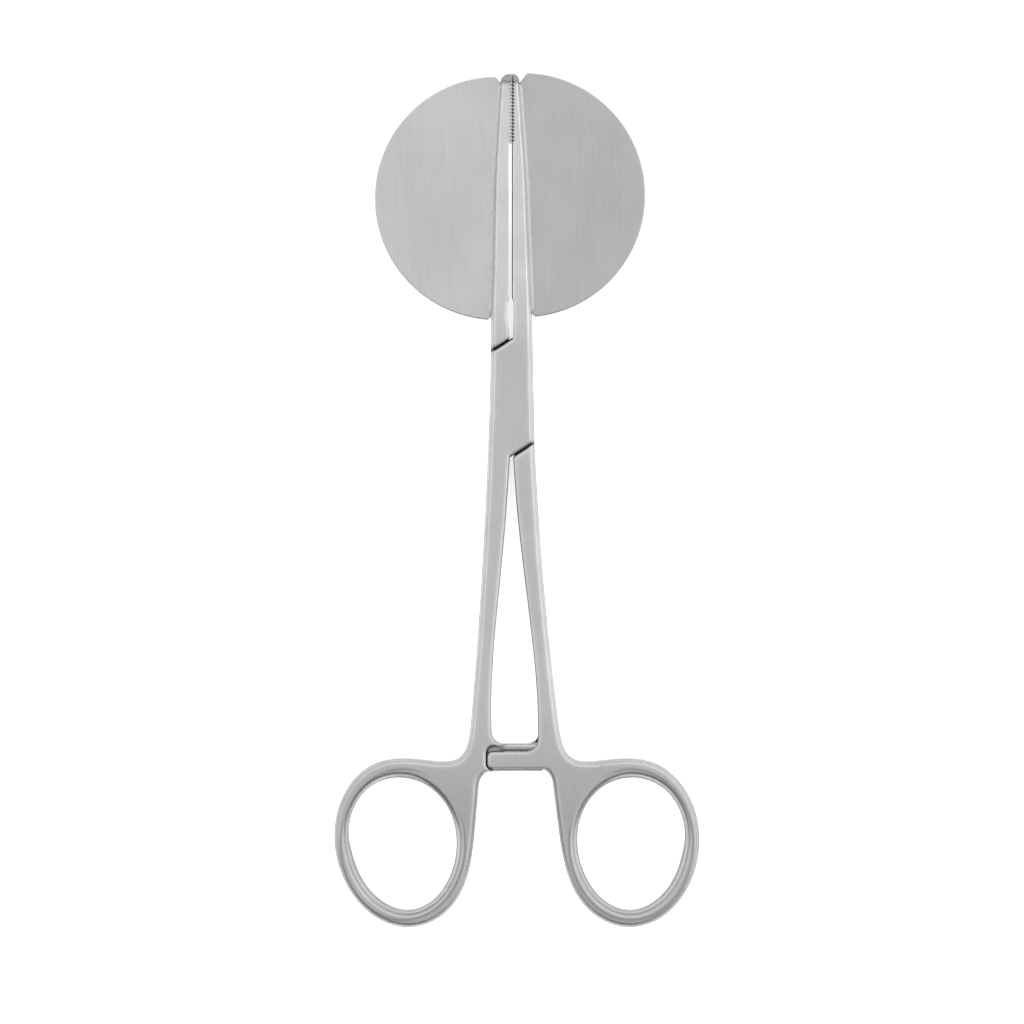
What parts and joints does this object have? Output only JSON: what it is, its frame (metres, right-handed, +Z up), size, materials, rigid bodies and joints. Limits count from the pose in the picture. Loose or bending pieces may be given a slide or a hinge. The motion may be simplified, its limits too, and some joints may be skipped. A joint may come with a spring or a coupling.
{
  "type": "castration clamp",
  "caption": "Castration clamp: box-lock forceps with toothed jaws that carry brazed half-disc plates, a ratchet bar and finger rings. Its arms turn on one pivot.",
  "frame": {"origin": "on the pivot axis, in the plane on which the clamp's back rests", "axes": "+Y to the jaw tips, +X to the right seen from the front, +Z up through the thickness to the front face"},
  "size_m": [0.0685, 0.1605, 0.0046],
  "materials": {
    "arm_steel": "satin",
    "plate_steel": "fine brushed",
    "pin_steel": "ground flush",
    "braze": "smooth silver braze"
  },
  "bodies": {
    "female_side": {"female_arm": "arm_steel", "pivot_pin": "pin_steel", "right_plate": "plate_steel", "right_seam_front": "braze", "right_seam_back": "braze"},
    "male_side": {"male_arm": "arm_steel", "left_plate": "plate_steel", "left_seam_front": "braze", "left_seam_back": "braze"}
  },
  "joints": [
    {"name": "box_lock", "type": "hinge", "parent": "female_side", "child": "male_side", "pos_m": [0, 0, 0.0023], "axis": [0, 0, 1], "range_deg": [0, 60]}
  ]
}
